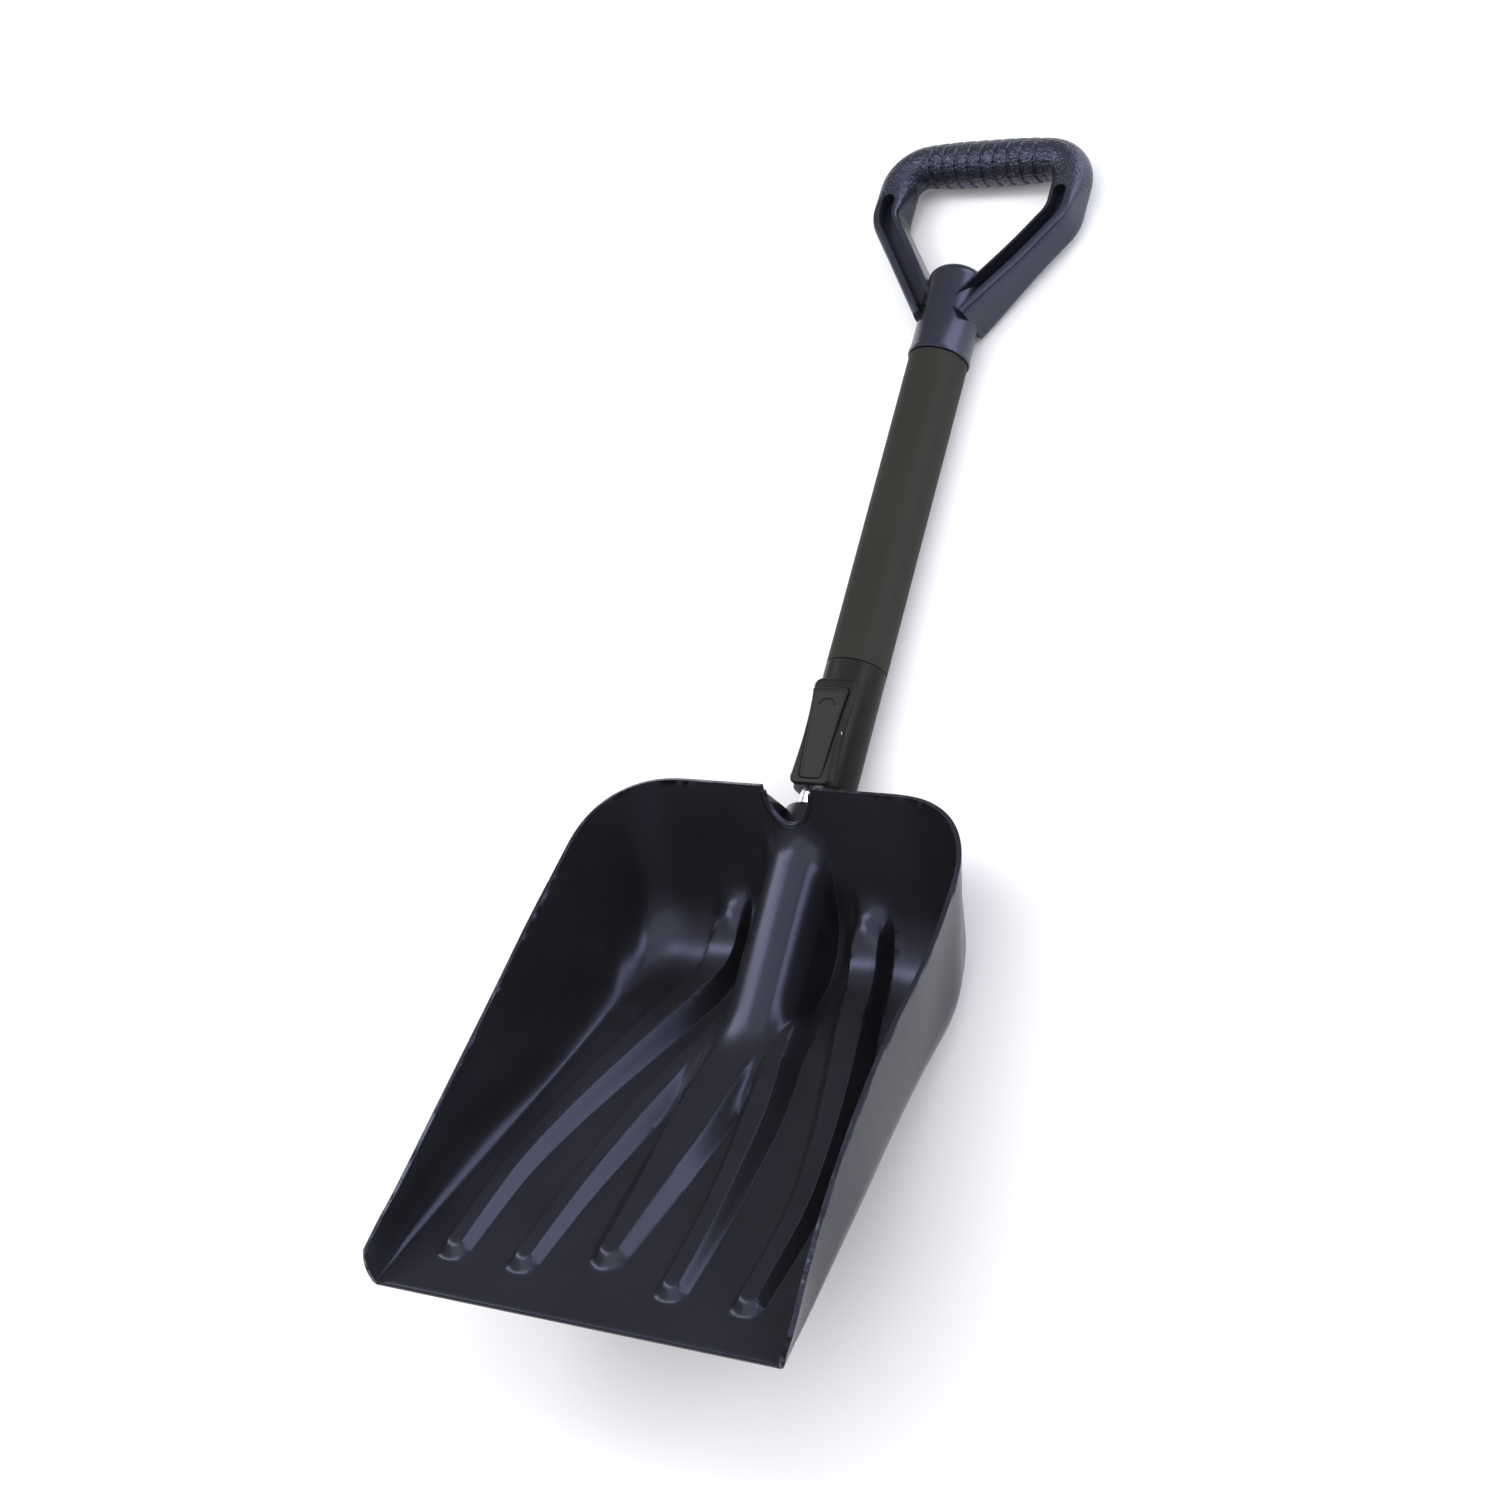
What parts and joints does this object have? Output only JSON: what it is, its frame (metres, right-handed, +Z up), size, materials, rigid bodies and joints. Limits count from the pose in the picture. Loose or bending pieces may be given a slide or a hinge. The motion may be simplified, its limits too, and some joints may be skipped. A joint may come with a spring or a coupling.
{
  "type": "telescoping snow shovel",
  "caption": "Compact snow shovel with a ribbed moulded scoop, a telescoping tube handle held by a rocker lock, and a grooved D-grip.",
  "frame": {"origin": "on the ground, at the middle of the overall box, with the shovel lying on its heel and grip collar", "axes": "+Z up; +Y runs from the front edge of the scoop towards the grip, the handle lying almost along it; +X to the right when looking from the scoop towards the grip with the open side up"},
  "size_m": [0.2526, 0.7487, 0.1413],
  "materials": {
    "scoop_plastic": "blue-black injection-moulded polypropylene, glossy",
    "grip_plastic": "blue-black moulded plastic, grained on the bar and shoulders",
    "lock_plastic": "black moulded plastic, satin",
    "lever_plastic": "black moulded plastic, fine texture",
    "guide_nylon": "natural nylon",
    "tube_paint": "dark brown-black coating on an aluminium tube",
    "bright_tube": "bright drawn tube",
    "screw_steel": "zinc-plated",
    "spring_steel": "drawn spring wire"
  },
  "bodies": {
    "scoop": {"blade": "scoop_plastic", "inner_tube": "bright_tube", "tube_guide": "guide_nylon", "socket_screw_1": "screw_steel", "socket_screw_2": "screw_steel"},
    "handle": {"outer_tube": "tube_paint", "lock_housing": "lock_plastic", "lever_pivot_pin": "screw_steel", "lever_spring": "spring_steel", "housing_screw": "screw_steel", "d_grip": "grip_plastic", "grip_screw": "screw_steel"},
    "lever": {"lock_lever": "lever_plastic", "lock_pin": "screw_steel"}
  },
  "joints": [
    {"name": "handle_slide", "type": "slide", "parent": "scoop", "child": "handle", "axis": [0, 0.9999, -0.0135], "range_m": [0, 0.1266]},
    {"name": "lever_hinge", "type": "hinge", "parent": "handle", "child": "lever", "pos_m": [0, -0.02315, 0.03821], "axis": [-1, 0, 0], "range_deg": [0, 6.5], "stiffness_Nm_per_rad": 0.6, "springref_deg": -2.86, "deforming": ["lever_spring"]}
  ]
}
